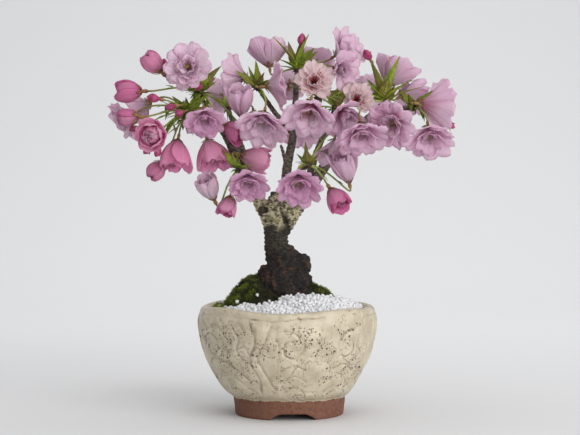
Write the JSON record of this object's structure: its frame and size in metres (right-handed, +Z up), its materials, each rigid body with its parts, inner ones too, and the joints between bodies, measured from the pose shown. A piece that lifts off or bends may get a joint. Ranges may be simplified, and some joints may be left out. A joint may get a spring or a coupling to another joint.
{
  "type": "cherry blossom bonsai",
  "caption": "Miniature flowering cherry tree in full double pink blossom, in a round footed stoneware bowl with moss and white gravel.",
  "frame": {"origin": "on the surface the bowl stands on, in the middle of the tree's spread; the bowl's own axis is 3 mm to the +X side of it", "axes": "+Z up; -Y is the tree's front; +X is to the right seen from the front"},
  "size_m": [0.2328, 0.1223, 0.2579],
  "materials": {
    "stoneware": "satin",
    "net": "matte",
    "soil": "matte",
    "moss": "matte",
    "gravel": "matte",
    "bark": "matte",
    "green": "matte",
    "petal_pale": "satin",
    "petal_deep": "satin",
    "petal_faded": "satin"
  },
  "bodies": {
    "root": {"bloom_back_far_right": "petal_pale", "bloom_back_left": "petal_pale", "bloom_back_left_low": "petal_pale", "bloom_back_middle": "petal_pale", "bloom_back_right": "petal_pale", "bloom_back_top": "petal_pale", "bloom_centre": "petal_pale", "bloom_centre_faded": "petal_faded", "bloom_centre_left": "petal_pale", "bloom_centre_right": "petal_pale", "bloom_far_left": "petal_pale", "bloom_far_left_low": "petal_pale", "bloom_far_right_low": "petal_pale", "bloom_far_right_side": "petal_pale", "bloom_left_bottom_bud": "petal_deep", "bloom_left_crown": "petal_pale", "bloom_left_front": "petal_pale", "bloom_left_hanging": "petal_deep", "bloom_left_inner": "petal_deep", "bloom_left_low_bud": "petal_deep", "bloom_left_opening": "petal_deep", "bloom_left_rose": "petal_deep", "bloom_left_side_bud": "petal_deep", "bloom_left_upper_bud": "petal_deep", "bloom_low_inner": "petal_pale", "bloom_low_left": "petal_pale", "bloom_low_left_bud": "petal_deep", "bloom_low_left_cup": "petal_pale", "bloom_low_right": "petal_pale", "bloom_low_right_bud": "petal_deep", "bloom_low_right_cup": "petal_pale", "bloom_right_back": "petal_pale", "bloom_right_behind": "petal_pale", "bloom_right_faded": "petal_faded", "bloom_right_front": "petal_pale", "bloom_right_inner": "petal_pale", "bloom_right_rose": "petal_pale", "bloom_top_back": "petal_pale", "bloom_top_behind": "petal_pale", "bloom_top_left_right": "petal_pale", "bloom_top_left_side": "petal_pale", "bloom_top_right": "petal_pale", "bloom_top_right_low": "petal_pale", "bloom_upper_cup": "petal_pale", "drain_net": "net", "gravel": "gravel", "moss": "moss", "pot": "stoneware", "soil": "soil", "spray_back_left": "green", "spray_back_right": "green", "spray_centre": "green", "spray_far_right": "green", "spray_left": "green", "spray_low_left": "green", "spray_low_right": "green", "spray_right": "green", "spray_top": "green", "spray_top_left": "green", "wood": "bark"}
  },
  "joints": []
}
